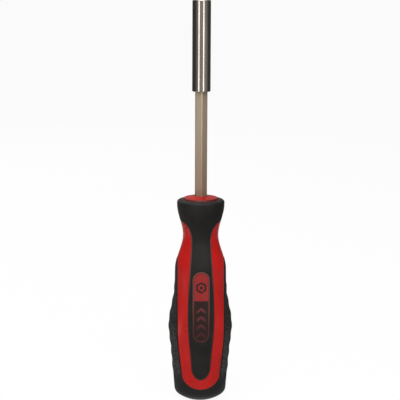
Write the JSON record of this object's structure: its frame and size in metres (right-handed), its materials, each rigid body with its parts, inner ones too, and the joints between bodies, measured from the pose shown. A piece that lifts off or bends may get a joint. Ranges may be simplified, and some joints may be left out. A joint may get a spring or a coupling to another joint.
{
  "type": "bit-holder screwdriver",
  "caption": "Magnetic bit-holder screwdriver: open hex bit sleeve on a hex steel shaft, set in a waisted handle of hard red core and soft black grips with a domed butt.",
  "frame": {"origin": "centre of the flat foot under the butt of the handle, on the tool's axis", "axes": "+Z along the tool's axis from the butt to the bit socket, -Y towards the front of the handle with the badge"},
  "size_m": [0.0356, 0.0297, 0.2224],
  "materials": {
    "satin_nickel_steel": "satin nickel plate",
    "polished_steel": "polished",
    "nickel_plated_magnet": "nickel plate",
    "spring_steel": "plain drawn wire",
    "red_hard_plastic": "semi-gloss moulded",
    "black_soft_grip": "smooth soft moulding",
    "black_grained_grip": "grained and ribbed soft moulding",
    "badge_red": "moulded",
    "badge_dark": "moulded"
  },
  "bodies": {
    "root": {"shaft": "satin_nickel_steel", "bit_sleeve": "polished_steel", "bit_magnet": "nickel_plated_magnet", "retaining_ring": "spring_steel", "handle_core": "red_hard_plastic", "collar_grip": "black_soft_grip", "lower_grip": "black_grained_grip", "badge_plate": "badge_red", "badge_panel": "badge_dark"}
  },
  "joints": []
}
